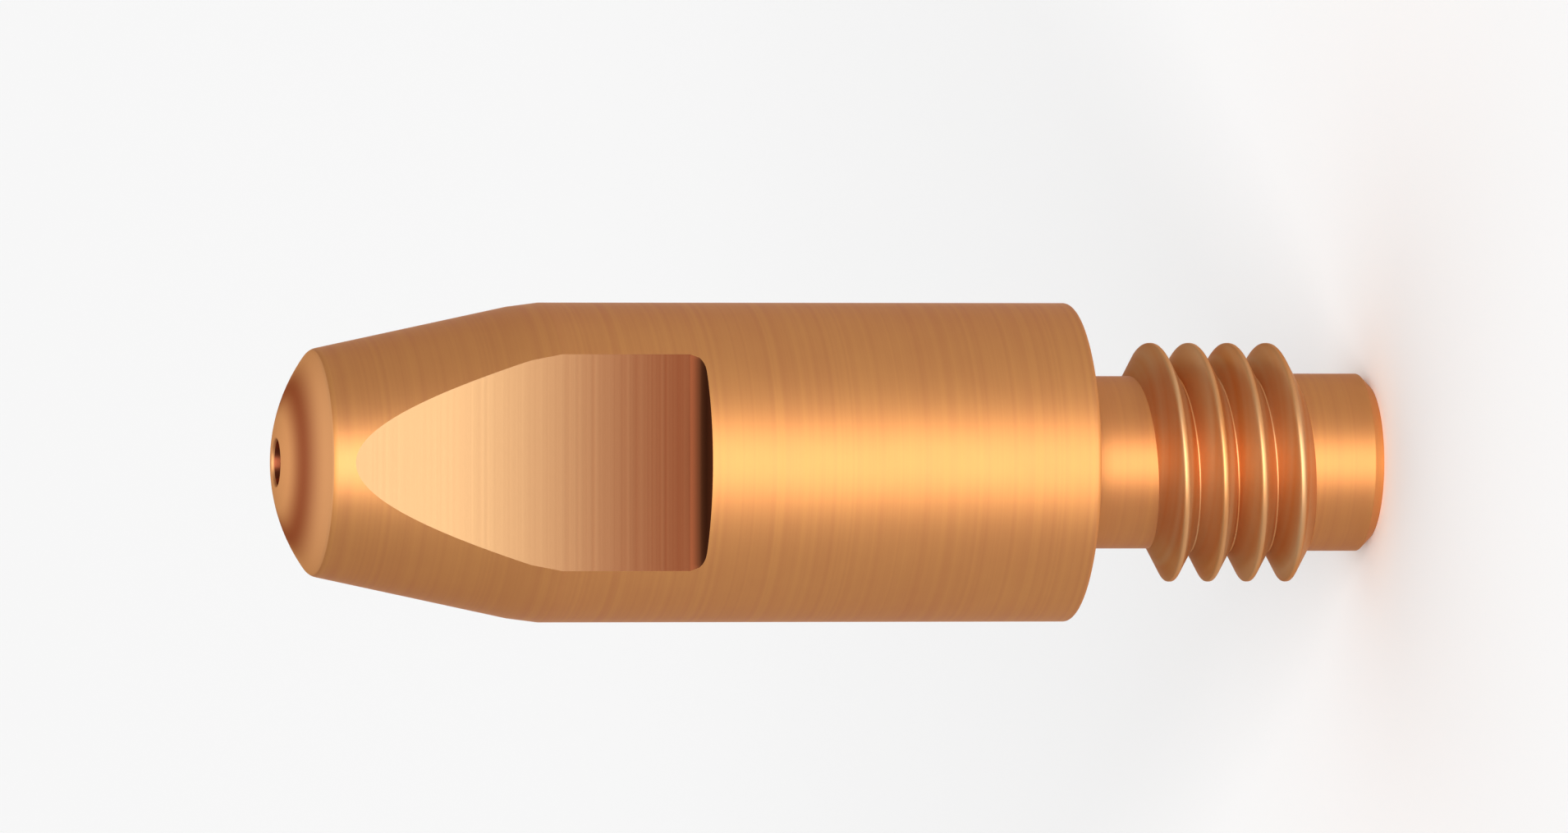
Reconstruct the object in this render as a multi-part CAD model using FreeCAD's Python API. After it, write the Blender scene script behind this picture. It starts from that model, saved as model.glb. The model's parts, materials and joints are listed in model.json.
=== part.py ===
"""Contact tip for a wire-fed welding torch: one turned copper piece with two spanner flats and a thread.

The tip stands on its rear end. +Z runs along the axis from the rear end to the nose, the origin is the
centre of the rear end, and the two spanner flats face -Y and +Y. Sizes are in millimetres and degrees.
"""

import FreeCAD, Part  # FreeCAD has to be loaded before Part
import math
import os

# Overall sizes
overall_length = 28.0
body_diameter = 8.0
shank_length = 7.75

# Nose: a low crown, a slim taper that leans in towards the axis, and its soft blend into the body
nose_crown_height = 0.93
nose_rim_round = 0.3
taper_length = 5.45
taper_angle = 12.0
taper_blend_radius = 3.0

# Spanner flats: measured back from the nose, milled with a cutter whose corner is rounded
flat_across = 5.9
flat_reach = 10.3
flat_cutter_corner = 0.35

# Shoulder that seats on the tip holder
shoulder_edge_round = 0.1

# Shank: right-hand thread, relief neck next to the shoulder, and plain pilot with a chamfered end.
# The neck and the pilot lie below the root of the thread by their reliefs.
thread_diameter = 6.0
thread_pitch = 1.0
thread_angle = 60.0
neck_length = 1.55
neck_relief = 0.104
pilot_length = 1.5
pilot_relief = 0.039
pilot_chamfer = 0.28

# Wire passage: the bore, and the funnel that leads the wire in at the rear
wire_bore_diameter = 1.2
funnel_mouth_diameter = 2.5
funnel_angle = 60.0

# How far a cutter passes beyond the metal that it cuts, and how deep the thread's ridge is rooted in its core
cutter_overrun = 1.0
ridge_rooting = 0.05

# Thread form, after the metric profile: a crest flat of an eighth of the pitch and a narrow root
crest_flat = thread_pitch / 8
root_flat = thread_pitch / 32
flank_slope = math.tan(math.radians(thread_angle / 2))
flank_run = (thread_pitch - crest_flat - root_flat) / 2
thread_depth = flank_run / flank_slope
crest_radius = thread_diameter / 2
root_radius = crest_radius - thread_depth
neck_radius = root_radius - neck_relief
pilot_radius = root_radius - pilot_relief

# Both ends of the threaded length slope as the thread's own flanks do, so the ridge starts to run out there
neck_start = shank_length - neck_length
thread_end = neck_start - (crest_radius - neck_radius) * flank_slope
thread_start = pilot_length + (crest_radius - pilot_radius) * flank_slope

# The nose's rim, where the crown meets the taper
rim_height = overall_length - nose_crown_height
rim_diameter = body_diameter - 2 * taper_length * math.tan(math.radians(taper_angle))

AXIS_START = FreeCAD.Vector(0, 0, 0)
AXIS = FreeCAD.Vector(0, 0, 1)
FULL_TURN = 360


def point(radius, height):
    """A point of the outline plane, which holds the axis and the +X direction."""
    return FreeCAD.Vector(radius, 0, height)


def crown_arc(rim, mouth):
    """The arc of the nose's crown, from the rim to the mouth of the bore, centred on the axis."""
    squares = mouth.z**2 + mouth.x**2 - rim.z**2 - rim.x**2
    centre = squares / (2 * (mouth.z - rim.z))
    crown_radius = math.hypot(rim.x, rim.z - centre)
    between = (rim.x + mouth.x) / 2
    middle = point(between, centre + math.sqrt(crown_radius**2 - between**2))
    return Part.Arc(rim, middle, mouth).toShape()


def blank():
    """The turned blank with its bore drilled, down to the thread's root where the thread will be."""
    bore_radius = wire_bore_diameter / 2
    funnel_radius = funnel_mouth_diameter / 2
    funnel_depth = (funnel_radius - bore_radius) / math.tan(math.radians(funnel_angle / 2))
    body_radius = body_diameter / 2
    mouth = point(bore_radius, overall_length)
    rim = point(rim_diameter / 2, rim_height)
    corners = [
        mouth,
        point(bore_radius, funnel_depth),
        point(funnel_radius, 0),
        point(pilot_radius - pilot_chamfer, 0),
        point(pilot_radius, pilot_chamfer),
        point(pilot_radius, pilot_length),
        point(root_radius, pilot_length),
        point(root_radius, neck_start),
        point(neck_radius, neck_start),
        point(neck_radius, shank_length),
        point(body_radius, shank_length),
        point(body_radius, rim_height - taper_length),
        rim,
    ]
    outline = Part.Wire(Part.makePolygon(corners).Edges + [crown_arc(rim, mouth)])
    return Part.Face(outline).revolve(AXIS_START, AXIS, FULL_TURN)


def ring_edge(solid, diameter, height):
    """The circular edge of that diameter, centred on the axis at that height."""

    def distance(edge):
        if not isinstance(edge.Curve, Part.Circle):
            return math.inf
        return abs(edge.Curve.Radius - diameter / 2) + abs(edge.Curve.Center.z - height)

    return min(solid.Edges, key=distance)


def softened(solid):
    """The blank with its shoulder edge and nose rim broken, and the taper blended into the body."""
    solid = solid.makeFillet(shoulder_edge_round, [ring_edge(solid, body_diameter, shank_length)])
    solid = solid.makeFillet(nose_rim_round, [ring_edge(solid, rim_diameter, rim_height)])
    taper_end = ring_edge(solid, body_diameter, rim_height - taper_length)
    return solid.makeFillet(taper_blend_radius, [taper_end])


def flat_cutter():
    """What the milling cutter takes away on the -Y side, with the rounded corner it leaves at the step."""
    width = body_diameter + 2 * cutter_overrun
    depth = body_diameter / 2 - flat_across / 2 + cutter_overrun
    height = flat_reach + cutter_overrun
    corner = FreeCAD.Vector(-width / 2, -flat_across / 2 - depth, overall_length - flat_reach)
    block = Part.makeBox(width, depth, height, corner)

    def off_root(edge):
        middle = edge.CenterOfMass
        return abs(middle.y + flat_across / 2) + abs(middle.z - corner.z)

    return block.makeFillet(flat_cutter_corner, [min(block.Edges, key=off_root)])


def spanner_flats():
    """Both cutters: the second faces +Y."""
    front = flat_cutter()
    back = front.copy()
    back.rotate(AXIS_START, AXIS, FULL_TURN / 2)
    return [front, back]


def one_turn(radius, height):
    """One turn of a right-handed helix of the thread's pitch, from that height above +X."""
    helix = Part.makeHelix(thread_pitch, thread_pitch, radius)
    helix.translate(AXIS * height)
    return helix.Edges[0]


def wound(section, start_height, turns):
    """A solid that winds up along the axis with the thread's pitch and starts and ends towards +Y.

    The section is a list of (radius, rise) corners. Each turn is a ruled face for each of its sides, and
    a flat face closes each end.
    """
    faces = []
    for turn in range(turns):
        turn_height = start_height + turn * thread_pitch
        helices = [one_turn(radius, turn_height + rise) for radius, rise in section]
        for helix, neighbour in zip(helices, helices[1:] + helices[:1]):
            faces.append(Part.makeRuledSurface(helix, neighbour))
    for height in (start_height, start_height + turns * thread_pitch):
        corners = [point(radius, height + rise) for radius, rise in section]
        faces.append(Part.Face(Part.makePolygon(corners + corners[:1])))

    shell = Part.makeShell(faces)
    shell.sewShape()
    solid = Part.Solid(shell)
    if solid.Volume < 0:
        solid.reverse()
    solid.rotate(AXIS_START, AXIS, FULL_TURN / 4)
    return solid


def thread_envelope():
    """The turned form that bounds the thread: its crest, and the slope that it runs out on at each end."""
    corners = [
        point(0, pilot_length),
        point(pilot_radius, pilot_length),
        point(crest_radius, thread_start),
        point(crest_radius, thread_end),
        point(neck_radius, neck_start),
        point(0, neck_start),
    ]
    outline = Part.makePolygon(corners + corners[:1])
    return Part.Face(outline).revolve(AXIS_START, AXIS, FULL_TURN)


def thread_ridge():
    """The thread's ridge, a whole number of turns long, with its last full crest towards +X at the neck.

    Its section is rooted in the core and stands proud of the crest, and the envelope trims it.
    """
    half_foot = (thread_pitch - root_flat) / 2
    half_tip = crest_flat / 4
    proud = (crest_flat / 2 - half_tip) / flank_slope
    section = [
        (root_radius - ridge_rooting, -half_foot),
        (root_radius, -half_foot),
        (crest_radius + proud, -half_tip),
        (crest_radius + proud, half_tip),
        (root_radius, half_foot),
        (root_radius - ridge_rooting, half_foot),
    ]
    turns = round((thread_end - thread_start) / thread_pitch)
    end_height = thread_end - crest_flat + thread_pitch / 4
    ridge = wound(section, end_height - turns * thread_pitch, turns)
    return ridge.common(thread_envelope())


def contact_tip():
    """The finished tip: the softened blank with its flats milled, and the thread's ridge on its core."""
    milled = softened(blank()).cut(spanner_flats())
    return milled.fuse(thread_ridge())


os.makedirs("parts", exist_ok=True)
contact_tip().Solids[0].exportStep("parts/contact_tip.step")
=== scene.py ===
"""A welding contact tip in turned copper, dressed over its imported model, on a plain studio floor.

The tip stands on its rear end with its nose up, and its two spanner flats face -Y and +Y. Everything is in
metres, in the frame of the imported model. The tip is one closed surface, built up round its axis from the
rear end: the bore, the pilot, the thread, the neck, the body, the flatted nose and the crown.
"""

import json
import math
from typing import NamedTuple

import bmesh
import bpy
from mathutils import Matrix, Vector


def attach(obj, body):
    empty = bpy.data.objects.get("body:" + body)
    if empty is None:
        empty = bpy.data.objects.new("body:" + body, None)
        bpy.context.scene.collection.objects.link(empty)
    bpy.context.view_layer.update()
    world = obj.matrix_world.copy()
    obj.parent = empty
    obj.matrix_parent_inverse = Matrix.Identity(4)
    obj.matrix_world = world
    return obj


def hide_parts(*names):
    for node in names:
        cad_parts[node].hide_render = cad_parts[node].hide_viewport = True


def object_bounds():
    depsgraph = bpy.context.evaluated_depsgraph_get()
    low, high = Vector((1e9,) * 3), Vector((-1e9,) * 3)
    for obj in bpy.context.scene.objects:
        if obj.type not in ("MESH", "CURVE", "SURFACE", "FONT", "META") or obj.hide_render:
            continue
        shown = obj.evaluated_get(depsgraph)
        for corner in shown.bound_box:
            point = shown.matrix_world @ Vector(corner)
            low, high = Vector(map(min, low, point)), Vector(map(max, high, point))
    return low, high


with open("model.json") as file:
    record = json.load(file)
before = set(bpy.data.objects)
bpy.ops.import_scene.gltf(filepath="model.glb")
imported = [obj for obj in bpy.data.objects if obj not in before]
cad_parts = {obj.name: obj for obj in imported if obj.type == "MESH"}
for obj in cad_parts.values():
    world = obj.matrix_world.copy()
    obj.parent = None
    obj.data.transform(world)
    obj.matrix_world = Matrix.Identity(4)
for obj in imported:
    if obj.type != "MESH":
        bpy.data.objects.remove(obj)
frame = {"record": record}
CAD_LOW, CAD_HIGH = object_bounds()

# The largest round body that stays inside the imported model, whose own round is made of flat facets
BODY_RADIUS = min(-CAD_LOW.x, -CAD_LOW.y, CAD_HIGH.x, CAD_HIGH.y)

bl_info = {
    "name": "Welding contact tip",
    "version": (1, 0, 0),
    "blender": (4, 5, 0),
    "location": "View3D > Sidebar > Contact tip",
    "description": "Makes a turned copper contact tip with spanner flats and a thread, and its studio",
    "category": "Add Mesh",
}

MM = 0.001
BODY = "root"
NODE = "contact_tip"
PIECE = "turned_tip"
QUARTER = math.pi / 2
HALF_TURN = math.pi
FULL_TURN = 2 * math.pi

# How finely the surface is divided: round a quarter of the tip, over a rounded edge and over the crown's arc
COLUMNS_PER_QUARTER = 64
EDGE_STEPS = 7
CROWN_STEPS = 12

# How far beside a rounded edge another row of vertices holds the long face next to it flat
SUPPORT = 0.01 * MM

# Places this close are one vertex, and lengths or sines this close count as equal
WELD = 0.0001 * MM
SAME_LENGTH = 0.0001 * MM
SAME_SINE = 1e-6

# The faces' finishes, in the order of the piece's material slots
TURNED, MILLED, THREADED, DRILLED, CROWN, STEP = range(6)


class Cut(NamedTuple):
    """What a tool leaves on the copper, besides its colour."""

    roughness: float
    stretch: float  # how far the grooves stretch a reflection across them
    oil: float  # how much of the surface still has the film of cutting oil
    spacing: float  # from one groove to the next
    depth: float


# The grooves that the tools leave are too fine to show. Each spacing below is the real one in millimetres,
# drawn this many times as coarse.
COARSER = 4

# Turned with a fine feed: its rings draw the light out into one soft streak along the body
TURNED_CUT = Cut(roughness=0.62, stretch=0.65, oil=0.7, spacing=COARSER * 0.055 * MM, depth=0.0004 * MM)

# Cut by a threading tool that follows the ridge: a closer gloss, with a bright line on every crest
THREAD_CUT = Cut(roughness=0.5, stretch=0.4, oil=0.4, spacing=COARSER * 0.075 * MM, depth=0.0003 * MM)

# Drilled, and polished by the wire that runs through
BORE_CUT = Cut(roughness=0.4, stretch=0.6, oil=0.0, spacing=COARSER * 0.075 * MM, depth=0.0006 * MM)

# Milled across the axis by a sharp cutter: each flat gleams as a whole, and the round at its step stays dull
FLAT_CUT = Cut(roughness=0.32, stretch=0.5, oil=0.0, spacing=COARSER * 0.04 * MM, depth=0.0006 * MM)
STEP_CUT = Cut(roughness=0.65, stretch=0.0, oil=0.0, spacing=COARSER * 0.04 * MM, depth=0.0006 * MM)


def linear(hex_colour):
    """The linear RGBA colour of an sRGB hex value."""
    channels = [int(hex_colour[place : place + 2], 16) / 255 for place in (1, 3, 5)]
    curve = [c / 12.92 if c <= 0.04045 else ((c + 0.055) / 1.055) ** 2.4 for c in channels]
    return (*curve, 1.0)


def mount_radius(name):
    """The radius that the record gives for one of the part's mounts."""
    for mount in frame["record"]["mounts"]:
        if mount["name"] == name:
            return mount["dims"]["r_mm"] * MM
    raise ValueError(f"the record has no mount named {name}")


def length_setting(name, description, default):
    """A length that a user may change, in metres."""
    return bpy.props.FloatProperty(
        name=name,
        description=description,
        default=default,
        min=0.0,
        unit="LENGTH",
        subtype="DISTANCE",
        precision=5,
    )


def angle_setting(name, description, degrees):
    """An angle that a user may change."""
    return bpy.props.FloatProperty(
        name=name,
        description=description,
        default=math.radians(degrees),
        min=0.0,
        unit="ROTATION",
        subtype="ANGLE",
    )


def colour_setting(name, description, hex_colour):
    """A colour that a user may change."""
    return bpy.props.FloatVectorProperty(
        name=name,
        description=description,
        default=linear(hex_colour),
        size=4,
        min=0.0,
        max=1.0,
        subtype="COLOR",
    )


class TipBodySizes(bpy.types.PropertyGroup):
    """Sizes of the body, the nose and the flats."""

    overall_length: length_setting("Overall length", "From the rear end to the nose", CAD_HIGH.z - CAD_LOW.z)
    body_diameter: length_setting("Body diameter", "Across the round body", 2 * BODY_RADIUS)
    shoulder_height: length_setting("Shoulder height", "From the rear end to the shoulder", 7.75 * MM)
    shoulder_round: length_setting("Shoulder edge", "Radius that breaks the shoulder's edge", 0.1 * MM)
    crown_height: length_setting("Crown height", "From the nose's rim up to the bore's mouth", 0.93 * MM)
    rim_round: length_setting("Rim round", "Radius that breaks the nose's rim", 0.3 * MM)
    taper_length: length_setting("Taper length", "From the body to the nose's rim", 5.45 * MM)
    taper_angle: angle_setting("Taper angle", "Lean of the taper towards the axis", 12.0)
    taper_blend: length_setting("Taper blend", "Radius that blends the taper into the body", 3.0 * MM)
    across_flats: length_setting("Across flats", "From one spanner flat to the other", 5.9 * MM)
    flat_reach: length_setting("Flat reach", "From the bore's mouth back to the flats' step", 10.3 * MM)
    cutter_corner: length_setting("Cutter corner", "Radius that the cutter leaves at the step", 0.35 * MM)


class TipShankSizes(bpy.types.PropertyGroup):
    """Sizes of the thread, the neck, the pilot and the bore."""

    thread_diameter: length_setting("Thread diameter", "Across the thread's crests", 6.0 * MM)
    thread_pitch: length_setting("Thread pitch", "From one crest to the next", 1.0 * MM)
    thread_angle: angle_setting("Thread angle", "Between the thread's two flanks", 60.0)
    crest_round: length_setting("Crest round", "How far the crest's edges are worn round", 0.035 * MM)
    neck_length: length_setting("Neck length", "From the thread to the shoulder", 1.55 * MM)
    neck_relief: length_setting("Neck relief", "Depth of the neck below the thread's root", 0.104 * MM)
    pilot_relief: length_setting("Pilot relief", "Depth of the plain end below the thread's root", 0.039 * MM)
    pilot_length: length_setting("Pilot length", "Length of the plain end", 1.5 * MM)
    pilot_chamfer: length_setting("Pilot chamfer", "Leg of the chamfer on the plain end", 0.28 * MM)
    bore_radius: length_setting("Bore radius", "Radius of the wire's bore", mount_radius("wire_bore"))
    mouth_round: length_setting("Mouth round", "Radius that breaks the bore's mouth", 0.05 * MM)
    funnel_radius: length_setting("Funnel radius", "Radius of the funnel's mouth at the rear", 1.25 * MM)
    funnel_angle: angle_setting("Funnel angle", "Between the funnel's two sides", 60.0)


class TipColours(bpy.types.PropertyGroup):
    """Colours of the copper's finishes."""

    turned_copper: colour_setting("Turned copper", "The body, the neck and the pilot", "#D6954E")
    turned_shade: colour_setting("Turned shade", "The darker rings that the tool leaves", "#CB8546")
    milled_bright: colour_setting("Milled bright", "The flats near the nose", "#CEA273")
    # The flats' tint is painted shade, darker towards the step
    flat_painted_shade: colour_setting("Milled painted shade", "The flats' painted shade near the step", "#7C452B")
    # The step's brown is painted shade in its recess
    step_painted_shade: colour_setting("Step painted shade", "The step that the cutter left", "#56321F")
    thread_copper: colour_setting("Thread copper", "The cut thread", "#CFA070")
    bore_brown: colour_setting("Bore brown", "The drilled bore", "#A2573A")
    copper_edge: colour_setting("Copper edge", "Reflections where the copper curves away", "#D39C80")
    # The crown's ring is painted shade
    crown_painted_shade: colour_setting("Crown ring", "The ring of painted shade round the bore", "#9C5B3D")
    crown_copper: colour_setting("Crown copper", "The faced crown of the nose", "#D79F6C")
    floor_white: colour_setting("Floor white", "The studio floor", "#FCFCFC")


def columns(sizes):
    """The azimuths of the mesh's columns, from +Y all the way round to +Y again.

    The edges of the flats lie on columns of their own, at the step and along the body.
    """
    radius = sizes.body_diameter / 2
    half_across = sizes.across_flats / 2
    at_step = math.asin((half_across + sizes.cutter_corner) / radius)
    along_body = math.asin(half_across / radius)
    quarter = [QUARTER * place / COLUMNS_PER_QUARTER for place in range(COLUMNS_PER_QUARTER + 1)]
    for wanted in (at_step, along_body):
        nearest = min(range(len(quarter)), key=lambda place: abs(quarter[place] - wanted))
        quarter[nearest] = wanted
    half = quarter + [HALF_TURN - azimuth for azimuth in reversed(quarter[:-1])]
    whole = half + [azimuth + HALF_TURN for azimuth in half[1:]]
    first = whole.index(QUARTER)
    return whole[first:] + [azimuth + FULL_TURN for azimuth in whole[1 : first + 1]]


def rounded(corners):
    """The outline through (radius, height, rounding) corners, as (radius, height) pairs.

    A corner with a rounding becomes an arc, with a row of its own just beside each of its ends.
    """
    line = []
    for place, (radius, height, rounding) in enumerate(corners):
        here = Vector((radius, height))
        if rounding == 0:
            line.append(here)
            continue
        back = (Vector(corners[place - 1][:2]) - here).normalized()
        ahead = (Vector(corners[place + 1][:2]) - here).normalized()
        half = back.angle(ahead) / 2
        reach = rounding / math.tan(half)
        centre = here + (back + ahead).normalized() * rounding / math.sin(half)
        start = here + back * reach - centre
        end = here + ahead * reach - centre
        line.append(here + back * (reach + SUPPORT))
        for step in range(EDGE_STEPS + 1):
            share = step / EDGE_STEPS
            line.append(centre + (start * (1 - share) + end * share).normalized() * rounding)
        line.append(here + ahead * (reach + SUPPORT))
    return line


class TipMesh:
    """The mesh of the tip as it grows, strip by strip, round the axis."""

    def __init__(self, azimuths):
        self.azimuths = azimuths
        self.mesh = bmesh.new()
        self.known = {}

    def vertex(self, place):
        """The vertex at that place, made once."""
        key = tuple(round(value / WELD) for value in place)
        if key not in self.known:
            self.known[key] = self.mesh.verts.new(place)
        return self.known[key]

    def face(self, corners, finish):
        """A face over those corners, unless they fall together into a line."""
        apart = [corner for place, corner in enumerate(corners) if corner is not corners[place - 1]]
        if len(set(apart)) < 3:
            return
        face = self.mesh.faces.new(apart)
        face.smooth = True
        face.material_index = finish

    def strip(self, lower, upper, finish, split=None):
        """Faces between two rows of places, which run round the axis side by side.

        Split may say for a column that its face is two triangles: whether their common edge rises from the
        lower row's first corner, and the two finishes.
        """
        lower = [self.vertex(place) for place in lower]
        upper = [self.vertex(place) for place in upper]
        for column in range(len(self.azimuths) - 1):
            low, low_next = lower[column], lower[column + 1]
            high, high_next = upper[column], upper[column + 1]
            cut = split(column) if split else None
            if cut is None:
                self.face([low, low_next, high_next, high], finish)
                continue
            rising, first, second = cut
            if rising:
                self.face([low, low_next, high_next], first)
                self.face([low, high_next, high], second)
            else:
                self.face([low, low_next, high], first)
                self.face([low_next, high_next, high], second)

    def ring(self, radius, height):
        """A row of places on a circle round the axis."""
        return [Vector((radius * math.cos(a), radius * math.sin(a), height)) for a in self.azimuths]

    def turned(self, outline, finish):
        """Faces that sweep the outline's (radius, height) pairs round the axis."""
        rows = [self.ring(radius, height) for radius, height in outline]
        for lower, upper in zip(rows, rows[1:]):
            self.strip(lower, upper, finish)


class Nose:
    """The outline of the nose and what the flats leave of it."""

    def __init__(self, sizes, shank):
        self.radius = sizes.body_diameter / 2
        self.top = sizes.overall_length
        self.rim_height = self.top - sizes.crown_height
        self.lean = math.tan(sizes.taper_angle)
        self.rim_radius = self.radius - sizes.taper_length * self.lean
        self.half_across = sizes.across_flats / 2
        self.corner = sizes.cutter_corner
        self.step_height = self.top - sizes.flat_reach
        self.flat_start = self.step_height + self.corner
        self.blend = sizes.taper_blend
        reach = self.blend * math.tan(sizes.taper_angle / 2)
        self.blend_start = self.rim_height - sizes.taper_length - reach
        self.blend_end_radius = self.radius - self.blend * (1 - math.cos(sizes.taper_angle))
        self.rim_round = sizes.rim_round
        self.bore_radius = shank.bore_radius
        self.mouth_round = shank.mouth_round
        self.mouth_foot = self.top - 2 * self.mouth_round

    def height_at(self, radius):
        """Where along the axis the blend or the taper has that radius."""
        if radius > self.blend_end_radius:
            drop = self.radius - radius
            return self.blend_start + math.sqrt(max(drop * (2 * self.blend - drop), 0.0))
        return self.rim_height - (radius - self.rim_radius) / self.lean

    def crown(self):
        """The crown's arc from the rim to the bore's mouth, then down into the bore."""
        squares = self.top**2 + self.bore_radius**2 - self.rim_height**2 - self.rim_radius**2
        centre = squares / (2 * (self.top - self.rim_height))
        crown_radius = math.hypot(self.rim_radius, self.rim_height - centre)
        width = self.rim_radius - self.bore_radius
        radii = [self.rim_radius - width * step / CROWN_STEPS for step in range(1, CROWN_STEPS)]
        arc = [(radius, centre + math.sqrt(crown_radius**2 - radius**2), 0) for radius in radii]
        tip_radius = self.half_across
        corners = [(tip_radius, self.height_at(tip_radius), 0)]
        corners.append((self.rim_radius, self.rim_height, self.rim_round))
        corners += arc
        corners.append((self.bore_radius, self.top, self.mouth_round))
        corners.append((self.bore_radius, self.mouth_foot, 0))
        return rounded(corners)

    def flatted_rows(self, azimuths):
        """Rows of (radius, height, limit to Y) from the step to the flats' tip.

        Each row is where the flats' edge crosses one of the mesh's columns.
        """
        edge_at_step = (self.half_across + self.corner) / self.radius
        edge_along_body = self.half_across / self.radius
        digits = 9
        first_quarter = [a for a in azimuths if math.cos(a) > -SAME_SINE and math.sin(a) > 0]
        sines = sorted({round(math.sin(azimuth), digits) for azimuth in first_quarter})
        rows = []
        for sine in reversed(sines):
            if edge_along_body - SAME_SINE <= sine <= edge_at_step + SAME_SINE:
                limit = self.radius * sine
                rise = self.half_across + self.corner - limit
                drop = math.sqrt(max(self.corner**2 - rise**2, 0.0))
                rows.append((self.radius, self.flat_start - drop, limit))
        for height in (self.flat_start + SUPPORT, self.blend_start - SUPPORT):
            rows.append((self.radius, height, self.half_across))
        for sine in sines:
            if sine >= edge_along_body - SAME_SINE:
                radius = min(self.half_across / sine, self.radius)
                rows.append((radius, self.height_at(radius), self.half_across))
        return rows


def limited(mesh, radius, height, limit):
    """A row of places on a circle, moved in to where the flats limit Y."""
    places = mesh.ring(radius, height)
    for place in places:
        place.y = max(-limit, min(limit, place.y))
    return places


def add_flatted_nose(mesh, nose):
    """The part of the nose that carries the flats, from the step to the flats' tip."""
    rows = nose.flatted_rows(mesh.azimuths)

    def standing(row, column):
        """How far the turned surface stands out beyond the flat there: none means on its edge."""
        radius, _, limit = row
        return radius * abs(math.sin(mesh.azimuths[column])) - limit

    first_radius, first_height, first_limit = rows[0]
    step_foot = limited(mesh, first_radius, first_height, first_limit)
    mesh.strip(mesh.ring(first_radius, first_height), step_foot, STEP)

    for lower, upper in zip(rows, rows[1:]):
        flat_finish = STEP if upper[1] < nose.flat_start + SAME_LENGTH else MILLED

        def split(column):
            """Whether the face is flat or round, and where the flats' edge cuts it from corner to corner."""
            stands = [
                standing(lower, column),
                standing(lower, column + 1),
                standing(upper, column + 1),
                standing(upper, column),
            ]
            on_flat = [stand > SAME_LENGTH for stand in stands]
            on_round = [stand < -SAME_LENGTH for stand in stands]
            if not any(on_round):
                return True, flat_finish, flat_finish
            if not any(on_flat):
                return True, TURNED, TURNED
            rising = not (on_flat[0] or on_round[0] or on_flat[2] or on_round[2])
            apart = (on_flat[1], on_flat[3]) if rising else (on_flat[0], on_flat[2])
            first, second = (flat_finish if is_flat else TURNED for is_flat in apart)
            return rising, first, second

        mesh.strip(limited(mesh, *lower), limited(mesh, *upper), TURNED, split)


def smooth_least(first, second, reach):
    """The smaller of two radii, blended where they are within reach of each other."""
    near = max(reach - abs(first - second), 0.0) / reach
    return min(first, second) - near * near * reach / 4


def eased(share):
    """A smooth step from 0 to 1."""
    share = max(0.0, min(1.0, share))
    return share * share * (3 - 2 * share)


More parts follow.
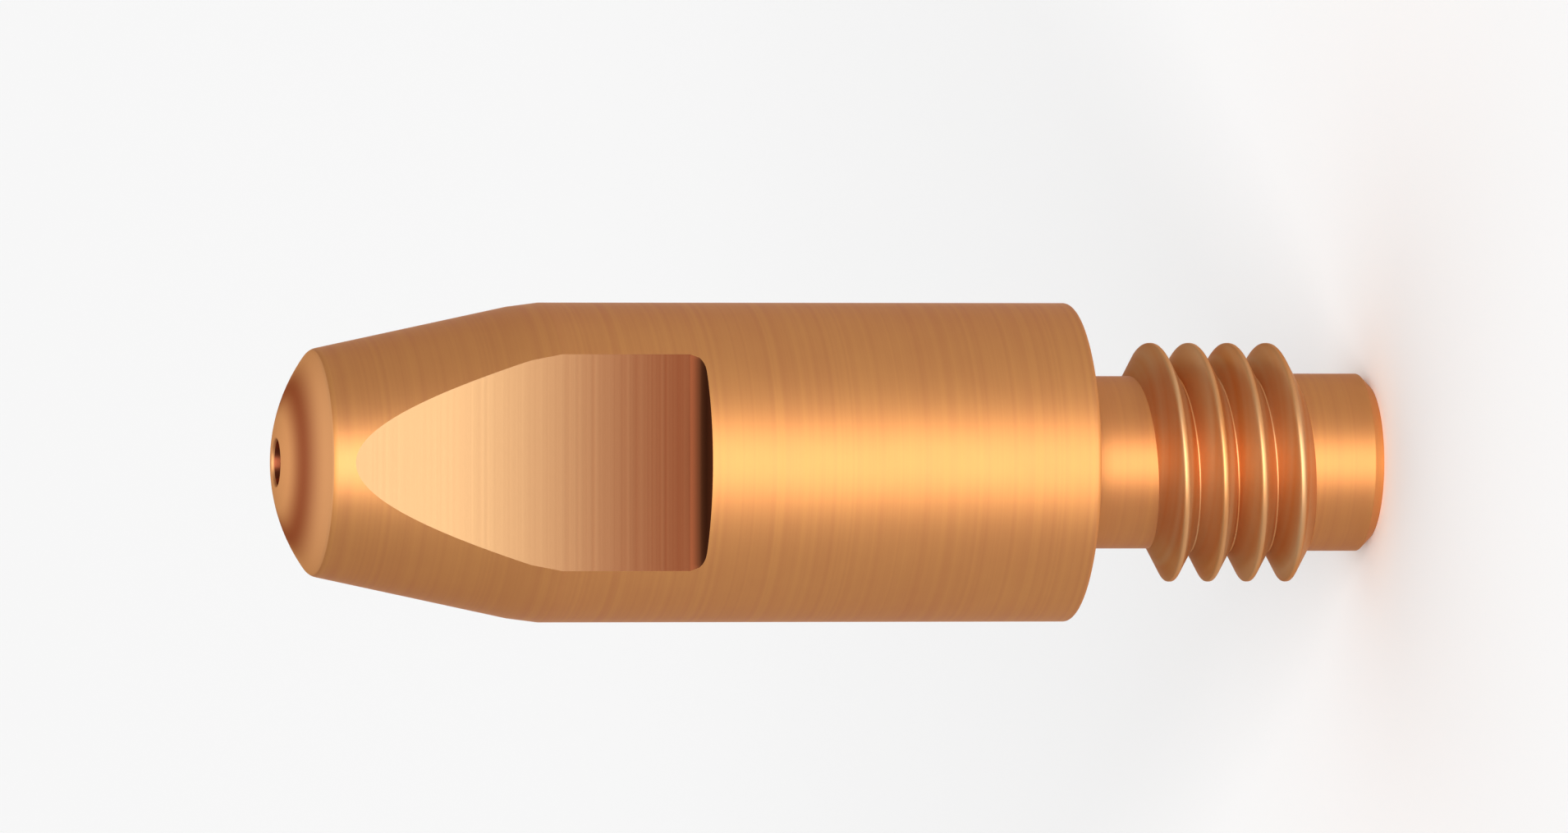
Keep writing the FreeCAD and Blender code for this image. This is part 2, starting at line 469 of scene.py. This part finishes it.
class Thread:
    """The thread's ridge, which winds up the shank and is trimmed at both ends by the turned slopes."""

    def __init__(self, sizes, shank):
        self.pitch = shank.thread_pitch
        self.slope = math.tan(shank.thread_angle / 2)
        self.crest_radius = shank.thread_diameter / 2
        self.crest_flat = self.pitch / 8
        root_flat = self.pitch / 32
        self.half_foot = (self.pitch - root_flat) / 2
        self.root_radius = self.crest_radius - (self.half_foot - self.crest_flat / 2) / self.slope
        self.neck_radius = self.root_radius - shank.neck_relief
        self.pilot_radius = self.root_radius - shank.pilot_relief
        self.crest_round = shank.crest_round
        self.bottom = shank.pilot_length
        self.top = sizes.shoulder_height - shank.neck_length
        self.first_foot = self.bottom + (self.root_radius - self.pilot_radius) * self.slope
        self.last_foot = self.top - (self.root_radius - self.neck_radius) * self.slope
        crest_end = self.top - (self.crest_radius - self.neck_radius) * self.slope
        crest_start = self.bottom + (self.crest_radius - self.pilot_radius) * self.slope
        turns = round((crest_end - crest_start) / self.pitch)
        # The share of a turn over which the ridge's two ends rise and fall
        self.fade = 0.1
        # The last full crest lies towards +X at the neck, and each row of crests counts from +Y
        last_centre = crest_end - self.crest_flat + self.pitch / 4
        self.first_centre = last_centre - turns * self.pitch
        self.ridges = range(-1, turns + 1)

    def ridge(self, number, share):
        """The (rise, height) pairs over one ridge, that share of a turn on from +Y."""
        centre = self.first_centre + (number + share) * self.pitch
        low = min(max(centre - self.half_foot, self.first_foot), self.last_foot)
        high = max(min(centre + self.half_foot, self.last_foot), self.first_foot)
        high = max(low, high)
        run = (self.crest_radius - self.root_radius) * self.slope
        middle = (low + high) / 2
        crest_low = min(low + run, middle)
        crest_high = max(high - run, middle)
        # Rows lie close together over the worn edges of the crest, at these multiples of its rounding
        outside = (1.5, 1.0, 0.3)
        inside = (0.3, 1.0)
        heights = [low]
        heights += [max(crest_low - self.crest_round * part, low) for part in outside]
        heights += [min(crest_low + self.crest_round * part, middle) for part in inside]
        heights.append(middle)
        heights += [max(crest_high - self.crest_round * part, middle) for part in reversed(inside)]
        heights += [min(crest_high + self.crest_round * part, high) for part in reversed(outside)]
        heights.append(high)
        stand = self.stand(number, share)
        rises = [self.radius_at(height, low, high) - self.root_radius for height in heights]
        return [(rise * stand, height) for rise, height in zip(rises, heights)]

    def radius_at(self, height, low, high):
        """The radius of the ridge that stands between those two feet."""
        reach = self.crest_round / self.slope
        lower_flank = self.root_radius + (height - low) / self.slope
        upper_flank = self.root_radius + (high - height) / self.slope
        peak = smooth_least(lower_flank, upper_flank, reach)
        return max(smooth_least(peak, self.crest_radius, reach), self.root_radius)

    def stand(self, number, share):
        """How much of its full height a ridge has: the first grows and the last fades near +Y."""
        if number == self.ridges[0]:
            return eased((share - 1 + self.fade) / self.fade)
        if number == self.ridges[-1]:
            return eased(1 - share / self.fade)
        return 1.0

    def core(self, share):
        """Where the core leaves its root radius at either end, and the share of the drop that it takes."""
        first_foot = max(self.first_centre + share * self.pitch - self.half_foot, self.first_foot)
        last_full = self.first_centre + (self.ridges[-1] - 1 + share) * self.pitch
        last_foot = min(last_full + self.half_foot, self.last_foot)
        bare = eased(share / self.fade) * eased((1 - share) / self.fade)
        return first_foot, last_foot, bare

    def core_at(self, height, share):
        """The core's radius: the outermost full ridges' flanks go on down to the pilot and the neck."""
        first_foot, last_foot, bare = self.core(share)
        pilot_drop = (self.root_radius - self.pilot_radius) * bare
        neck_drop = (self.root_radius - self.neck_radius) * bare
        pilot_fall = min(max(first_foot - height, 0.0) / self.slope, pilot_drop)
        neck_fall = min(max(height - last_foot, 0.0) / self.slope, neck_drop)
        return self.root_radius - pilot_fall - neck_fall

    def outline(self, azimuth):
        """The (radius, height) pairs up the shank at that azimuth."""
        share = (azimuth - QUARTER) / FULL_TURN
        first_foot, last_foot, bare = self.core(share)
        low_end = first_foot - (self.root_radius - self.pilot_radius) * bare * self.slope
        high_end = last_foot + (self.root_radius - self.neck_radius) * bare * self.slope
        ridges = [self.ridge(number, share) for number in self.ridges]
        pairs = [(self.pilot_radius, self.bottom), (self.core_at(self.bottom, share), self.bottom)]
        pairs += self.settled(ridges[0], share, self.bottom, low_end)
        pairs.append((self.core_at(low_end, share), low_end))
        for ridge in ridges[1:-1]:
            pairs += self.settled(ridge, share, self.bottom, self.top)
        pairs.append((self.core_at(high_end, share), high_end))
        pairs += self.settled(ridges[-1], share, high_end, self.top)
        pairs += [(self.core_at(self.top, share), self.top), (self.neck_radius, self.top)]
        return pairs

    def settled(self, ridge, share, low_end, high_end):
        """The ridge's (rise, height) pairs on the core, kept between two heights."""
        settled = []
        for rise, height in ridge:
            height = max(low_end, min(high_end, height))
            settled.append((self.core_at(height, share) + rise, height))
        return settled


def add_thread(mesh, thread):
    """The threaded length of the shank, from the pilot to the neck."""
    outlines = [thread.outline(azimuth) for azimuth in mesh.azimuths]
    rows = []
    for place in range(len(outlines[0])):
        row = []
        for azimuth, outline in zip(mesh.azimuths, outlines):
            radius, height = outline[place]
            row.append(Vector((radius * math.cos(azimuth), radius * math.sin(azimuth), height)))
        rows.append(row)
    bare_radius = thread.root_radius - 0.001 * MM

    for lower, upper in zip(rows, rows[1:]):

        def split(column):
            """Two triangles, because the face is twisted, with the body's finish where the core is bare."""
            corners = (lower[column], lower[column + 1], upper[column], upper[column + 1])
            farthest = max(math.hypot(corner.x, corner.y) for corner in corners)
            finish = TURNED if farthest < bare_radius else THREADED
            return True, finish, finish

        mesh.strip(lower, upper, THREADED, split)


def tip_mesh(sizes, shank):
    """The whole closed surface of the tip."""
    mesh = TipMesh(columns(sizes))
    nose = Nose(sizes, shank)
    thread = Thread(sizes, shank)
    chamfer = shank.pilot_chamfer
    edge_break = 0.03 * MM
    funnel_depth = (shank.funnel_radius - shank.bore_radius) / math.tan(shank.funnel_angle / 2)

    bore = [
        (shank.bore_radius, nose.mouth_foot),
        (shank.bore_radius, funnel_depth),
        (shank.funnel_radius, 0.0),
    ]
    mesh.turned(bore, DRILLED)
    rear = [
        (shank.funnel_radius, 0.0, 0),
        (thread.pilot_radius - chamfer, 0.0, edge_break),
        (thread.pilot_radius, chamfer, edge_break),
        (thread.pilot_radius, shank.pilot_length, 0),
    ]
    mesh.turned(rounded(rear), TURNED)
    add_thread(mesh, thread)
    body = [
        (thread.neck_radius, thread.top, 0),
        (thread.neck_radius, sizes.shoulder_height, edge_break),
        (nose.radius, sizes.shoulder_height, sizes.shoulder_round),
        (nose.radius, nose.step_height, 0),
    ]
    mesh.turned(rounded(body), TURNED)
    add_flatted_nose(mesh, nose)
    crown = nose.crown()
    rim_end = next(place for place, pair in enumerate(crown) if pair[1] > nose.rim_height)
    mesh.turned(crown[: rim_end + 1], TURNED)
    mesh.turned(crown[rim_end:], CROWN)
    return mesh.mesh


def mark_sharp_edges(mesh):
    """Edges that stay crisp: the borders of the flats and of their step, and those that turn by much."""
    sharp_turn = math.radians(28)
    for edge in mesh.edges:
        if len(edge.link_faces) != 2:
            raise ValueError("the tip's surface isn't closed")
        finishes = {face.material_index for face in edge.link_faces}
        border = len(finishes) > 1 and (MILLED in finishes or STEP in finishes)
        edge.smooth = not border and edge.calc_face_angle() < sharp_turn


def add_node(tree, kind, settings=None, inputs=None):
    """Adds a node with its settings, and sets or links its inputs."""
    node = tree.nodes.new(kind)
    for name, value in (settings or {}).items():
        setattr(node, name, value)
    for name, value in (inputs or {}).items():
        if isinstance(value, bpy.types.NodeSocket):
            tree.links.new(value, node.inputs[name])
        else:
            node.inputs[name].default_value = value
    return node


def new_material(name):
    """An empty node material and its tree."""
    material = bpy.data.materials.new(name)
    material.use_nodes = True
    material.node_tree.nodes.clear()
    return material, material.node_tree


def cut_copper(name, light, dark, edge, cut):
    """Copper alloy cut by a tool that went round the axis.

    Fine grooves in line with the cut stretch every reflection across them, so a lamp shows as a streak
    along the axis. The tone drifts a little from groove to groove, and a film of oil adds a pale sheen.
    """
    material, tree = new_material(name)
    place = add_node(tree, "ShaderNodeTexCoord").outputs["Object"]
    along = add_node(tree, "ShaderNodeSeparateXYZ", inputs={0: place}).outputs["Z"]
    grooves = add_node(
        tree,
        "ShaderNodeTexNoise",
        {"noise_dimensions": "1D"},
        {"W": along, "Scale": 1 / cut.spacing, "Detail": 2.0, "Roughness": 0.6},
    )
    # The tarnish of handling, in patches of a few millimetres
    patch_size = 2.5 * MM
    patches = add_node(
        tree,
        "ShaderNodeTexNoise",
        {"noise_dimensions": "3D"},
        {"Vector": place, "Scale": 1 / patch_size, "Detail": 3.0, "Roughness": 0.55},
    )
    patch_share = 0.35
    tone = add_node(
        tree,
        "ShaderNodeMix",
        {"data_type": "FLOAT"},
        {"Factor": patch_share, "A": grooves.outputs["Fac"], "B": patches.outputs["Fac"]},
    )
    colour = add_node(tree, "ShaderNodeValToRGB", inputs={"Fac": tone.outputs["Result"]})
    ramp = colour.color_ramp.elements
    ramp[0].position, ramp[0].color = 0.3, dark
    ramp[1].position, ramp[1].color = 0.65, light
    smoothest, roughest = cut.roughness * 0.9, cut.roughness * 1.1
    rough = add_node(
        tree,
        "ShaderNodeMapRange",
        inputs={"Value": grooves.outputs["Fac"], "To Min": smoothest, "To Max": roughest},
    )
    relief = add_node(
        tree,
        "ShaderNodeBump",
        inputs={"Height": grooves.outputs["Fac"], "Distance": cut.depth, "Strength": 1.0},
    )
    tangent = add_node(tree, "ShaderNodeTangent", {"direction_type": "RADIAL", "axis": "Z"})
    quarter_turn = 0.25
    shader = add_node(
        tree,
        "ShaderNodeBsdfPrincipled",
        inputs={
            "Base Color": colour.outputs["Color"],
            "Metallic": 1.0,
            "Roughness": rough.outputs["Result"],
            "Anisotropic": cut.stretch,
            "Anisotropic Rotation": quarter_turn,
            "Specular Tint": edge,
            "Coat Weight": cut.oil,
            "Coat Roughness": 0.55,
            "Normal": relief.outputs["Normal"],
            "Tangent": tangent.outputs["Tangent"],
        },
    )
    add_node(tree, "ShaderNodeOutputMaterial", inputs={"Surface": shader.outputs[0]})
    return material


def milled_copper(name, bright, tint, heights, cut):
    """Copper alloy milled across the axis, with painted shade.

    The cutter's marks run straight across the face. The colour turns from the tint at the first height to
    bright at the second: the tint is painted shade, darker towards the flats' step.
    """
    material, tree = new_material(name)
    place = add_node(tree, "ShaderNodeTexCoord").outputs["Object"]
    along = add_node(tree, "ShaderNodeSeparateXYZ", inputs={0: place}).outputs["Z"]
    marks = add_node(
        tree,
        "ShaderNodeTexNoise",
        {"noise_dimensions": "1D"},
        {"W": along, "Scale": 1 / cut.spacing, "Detail": 2.0, "Roughness": 0.6},
    )
    share = add_node(
        tree,
        "ShaderNodeMapRange",
        {"interpolation_type": "SMOOTHSTEP"},
        {"Value": along, "From Min": heights[0], "From Max": heights[1]},
    )
    mark_share = 0.12
    blended = add_node(
        tree,
        "ShaderNodeMix",
        {"data_type": "FLOAT"},
        {"Factor": mark_share, "A": share.outputs["Result"], "B": marks.outputs["Fac"]},
    )
    colour = add_node(tree, "ShaderNodeValToRGB", inputs={"Fac": blended.outputs["Result"]})
    ramp = colour.color_ramp.elements
    ramp[0].position, ramp[0].color = 0.06, tint
    ramp[1].position, ramp[1].color = 0.85, bright
    relief = add_node(
        tree,
        "ShaderNodeBump",
        inputs={"Height": marks.outputs["Fac"], "Distance": cut.depth, "Strength": 1.0},
    )
    tangent = add_node(tree, "ShaderNodeTangent", {"direction_type": "RADIAL", "axis": "Z"})
    shader = add_node(
        tree,
        "ShaderNodeBsdfPrincipled",
        inputs={
            "Base Color": colour.outputs["Color"],
            "Metallic": 1.0,
            "Roughness": cut.roughness,
            "Anisotropic": cut.stretch,
            "Normal": relief.outputs["Normal"],
            "Tangent": tangent.outputs["Tangent"],
        },
    )
    add_node(tree, "ShaderNodeOutputMaterial", inputs={"Surface": shader.outputs[0]})
    return material


def faced_copper(name, light, ring, edge, radii):
    """Copper alloy faced on the lathe, with painted shade.

    The crown is matt and smooth, with no grooves to see. A soft brown ring of painted shade lies round the
    bore, between the two radii.
    """
    material, tree = new_material(name)
    place = add_node(tree, "ShaderNodeTexCoord").outputs["Object"]
    sideways = (1, 1, 0)
    flat = add_node(tree, "ShaderNodeVectorMath", {"operation": "MULTIPLY"}, {0: place, 1: sideways})
    radius = add_node(tree, "ShaderNodeVectorMath", {"operation": "LENGTH"}, {0: flat.outputs["Vector"]})
    share = add_node(
        tree,
        "ShaderNodeMapRange",
        inputs={"Value": radius.outputs["Value"], "From Min": radii[0], "From Max": radii[1]},
    )
    # The painted shade is darkest at the middle stop, and plain copper again at both others
    colour = add_node(tree, "ShaderNodeValToRGB", inputs={"Fac": share.outputs["Result"]})
    ramp = colour.color_ramp
    ramp.interpolation = "EASE"
    ramp.elements[0].position, ramp.elements[0].color = 0.14, light
    ramp.elements[1].position, ramp.elements[1].color = 0.6, light
    ramp.elements.new(0.37).color = ring
    shader = add_node(
        tree,
        "ShaderNodeBsdfPrincipled",
        inputs={
            "Base Color": colour.outputs["Color"],
            "Metallic": 1.0,
            "Roughness": 0.62,
            "Specular Tint": edge,
        },
    )
    add_node(tree, "ShaderNodeOutputMaterial", inputs={"Surface": shader.outputs[0]})
    return material


def floor_paint(name, colour):
    """White emulsion rolled on the floor: dead matt, so that it shows only a soft shadow."""
    material, tree = new_material(name)
    shader = add_node(
        tree,
        "ShaderNodeBsdfPrincipled",
        inputs={"Base Color": colour, "Roughness": 0.9, "Specular IOR Level": 0.0},
    )
    add_node(tree, "ShaderNodeOutputMaterial", inputs={"Surface": shader.outputs[0]})
    return material


def tip_finishes(sizes, shank, colours):
    """The tip's materials by finish, one for every way that its copper was worked."""
    light, shade, edge = colours.turned_copper, colours.turned_shade, colours.copper_edge
    bright, tint, brown = colours.milled_bright, colours.flat_painted_shade, colours.step_painted_shade
    thread, bore = colours.thread_copper, colours.bore_brown
    step_height = sizes.overall_length - sizes.flat_reach
    # The flats are painted darker towards their step, as painted shade, and only the stretch near the nose
    # stays bright
    unshaded_length = 2 * MM
    flat_span = (step_height, sizes.overall_length - unshaded_length)
    step_span = (step_height, step_height + sizes.cutter_corner)
    crown_span = (shank.bore_radius, sizes.body_diameter / 2)
    return {
        TURNED: cut_copper("turned copper", light, shade, edge, TURNED_CUT),
        MILLED: milled_copper("milled copper", bright, tint, flat_span, FLAT_CUT),
        THREADED: cut_copper("cut copper thread", thread, shade, edge, THREAD_CUT),
        DRILLED: cut_copper("drilled copper bore", bore, bore, edge, BORE_CUT),
        # The brown ring on the crown is painted shade
        CROWN: faced_copper("faced copper nose", colours.crown_copper, colours.crown_painted_shade, edge, crown_span),
        # The step's dark brown is painted shade in its recess
        STEP: milled_copper("copper step with painted shade", tint, brown, step_span, STEP_CUT),
    }


class MESH_OT_contact_tip(bpy.types.Operator):
    """Makes the contact tip, from one closed mesh with its own finish on every cut surface"""

    bl_idname = "mesh.contact_tip"
    bl_label = "Contact tip"
    bl_options = {"REGISTER", "UNDO"}

    def execute(self, context):
        scene = context.scene
        sizes, shank = scene.tip_body_sizes, scene.tip_shank_sizes
        grown = tip_mesh(sizes, shank)
        bmesh.ops.recalc_face_normals(grown, faces=grown.faces)
        mark_sharp_edges(grown)
        mesh = bpy.data.meshes.new(PIECE)
        grown.to_mesh(mesh)
        grown.free()
        finishes = tip_finishes(sizes, shank, scene.tip_colours)
        for finish in sorted(finishes):
            mesh.materials.append(finishes[finish])

        tip = bpy.data.objects.new(PIECE, mesh)
        scene.collection.objects.link(tip)
        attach(tip, BODY)
        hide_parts(NODE)
        return {"FINISHED"}


def lay_floor(scene):
    """One round floor under the tip."""
    corners_round = 96
    radius = 2.5
    circle = [FULL_TURN * place / corners_round for place in range(corners_round)]
    corners = [(radius * math.cos(azimuth), radius * math.sin(azimuth), 0.0) for azimuth in circle]
    mesh = bpy.data.meshes.new("studio_floor")
    mesh.from_pydata(corners, [], [list(range(corners_round))])
    mesh.materials.append(floor_paint("matt white floor paint", scene.tip_colours.floor_white))
    floor = bpy.data.objects.new("studio_floor", mesh)
    scene.collection.objects.link(floor)


def add_sky(scene):
    """An even white sky, which fills the shadows."""
    world = bpy.data.worlds.new("studio")
    world.use_nodes = True
    tree = world.node_tree
    tree.nodes.clear()
    sky = add_node(tree, "ShaderNodeBackground", inputs={"Color": (1, 1, 1, 1), "Strength": 0.5})
    add_node(tree, "ShaderNodeOutputWorld", inputs={"Surface": sky.outputs[0]})
    scene.world = world


def add_softbox(scene, name, place, target, size, strength):
    """A soft area lamp aimed at the target: strength is how bright its face looks, 1 being white."""
    width, height = size
    lamp = bpy.data.lights.new(name, "AREA")
    lamp.shape = "RECTANGLE"
    lamp.size = width
    lamp.size_y = height
    lamp.energy = strength * math.pi * width * height
    softbox = bpy.data.objects.new(name, lamp)
    softbox.location = place
    softbox.rotation_euler = (target - place).to_track_quat("-Z", "Y").to_euler()
    softbox.visible_camera = False
    scene.collection.objects.link(softbox)


def set_camera(scene):
    """A long lens that looks down on the tip and lies on its side, so that the nose points left."""
    tilt = math.radians(12.6)
    photo_width = 1910
    pixels_per_mm = 48.65
    aim = Vector((1.15 * MM, 0.0, 15.0 * MM))
    lens = 600.0
    sensor = 36.0
    view_width = photo_width / pixels_per_mm * MM
    distance = view_width * lens / sensor
    ahead = Vector((0, math.cos(tilt), -math.sin(tilt)))
    right = Vector((0, -math.sin(tilt), -math.cos(tilt)))
    up = Vector((1, 0, 0))
    turn = Matrix((right, up, -ahead)).transposed().to_4x4()

    camera = bpy.data.cameras.new("camera")
    camera.lens = lens
    camera.sensor_width = sensor
    camera.clip_start = 0.01
    viewer = bpy.data.objects.new("camera", camera)
    viewer.matrix_world = Matrix.Translation(aim - ahead * distance) @ turn
    scene.collection.objects.link(viewer)
    scene.camera = viewer


class SCENE_OT_tip_studio(bpy.types.Operator):
    """Makes the plain floor, the soft light and the camera that looks at the tip from its nose's side"""

    bl_idname = "scene.tip_studio"
    bl_label = "Studio"
    bl_options = {"REGISTER", "UNDO"}

    def execute(self, context):
        scene = context.scene
        lay_floor(scene)
        add_sky(scene)
        # The front softbox is low, so that it draws the streak along the body. Both stand well back, so that
        # the floor is lit evenly.
        middle = Vector((0, 0, scene.tip_body_sizes.overall_length / 2))
        add_softbox(scene, "front_softbox", Vector((0, -2.1, 0.452)), middle, (1.8, 0.9), 13.0)
        add_softbox(scene, "top_softbox", Vector((0, 0.6, 1.2)), middle, (1.4, 1.4), 0.95)
        set_camera(scene)
        scene.view_settings.view_transform = "Standard"
        return {"FINISHED"}


class VIEW3D_PT_contact_tip(bpy.types.Panel):
    """The tip's sizes and colours, and the steps that make it"""

    bl_label = "Contact tip"
    bl_idname = "VIEW3D_PT_contact_tip"
    bl_space_type = "VIEW_3D"
    bl_region_type = "UI"
    bl_category = "Contact tip"

    def draw(self, context):
        layout = self.layout
        scene = context.scene
        for settings in (scene.tip_body_sizes, scene.tip_shank_sizes, scene.tip_colours):
            column = layout.column()
            for name in settings.__annotations__:
                column.prop(settings, name)
        layout.operator(MESH_OT_contact_tip.bl_idname)
        layout.operator(SCENE_OT_tip_studio.bl_idname)


CLASSES = (
    TipBodySizes,
    TipShankSizes,
    TipColours,
    MESH_OT_contact_tip,
    SCENE_OT_tip_studio,
    VIEW3D_PT_contact_tip,
)


def register():
    """Makes the classes known to Blender and gives the scene its settings."""
    for cls in CLASSES:
        bpy.utils.register_class(cls)
    bpy.types.Scene.tip_body_sizes = bpy.props.PointerProperty(type=TipBodySizes)
    bpy.types.Scene.tip_shank_sizes = bpy.props.PointerProperty(type=TipShankSizes)
    bpy.types.Scene.tip_colours = bpy.props.PointerProperty(type=TipColours)


def unregister():
    """Takes the classes and the settings away again."""
    del bpy.types.Scene.tip_colours
    del bpy.types.Scene.tip_shank_sizes
    del bpy.types.Scene.tip_body_sizes
    for cls in reversed(CLASSES):
        bpy.utils.unregister_class(cls)


def main():
    """Builds the tip and its studio."""
    register()
    bpy.ops.mesh.contact_tip()
    bpy.ops.scene.tip_studio()


if __name__ == "__main__":
    main()
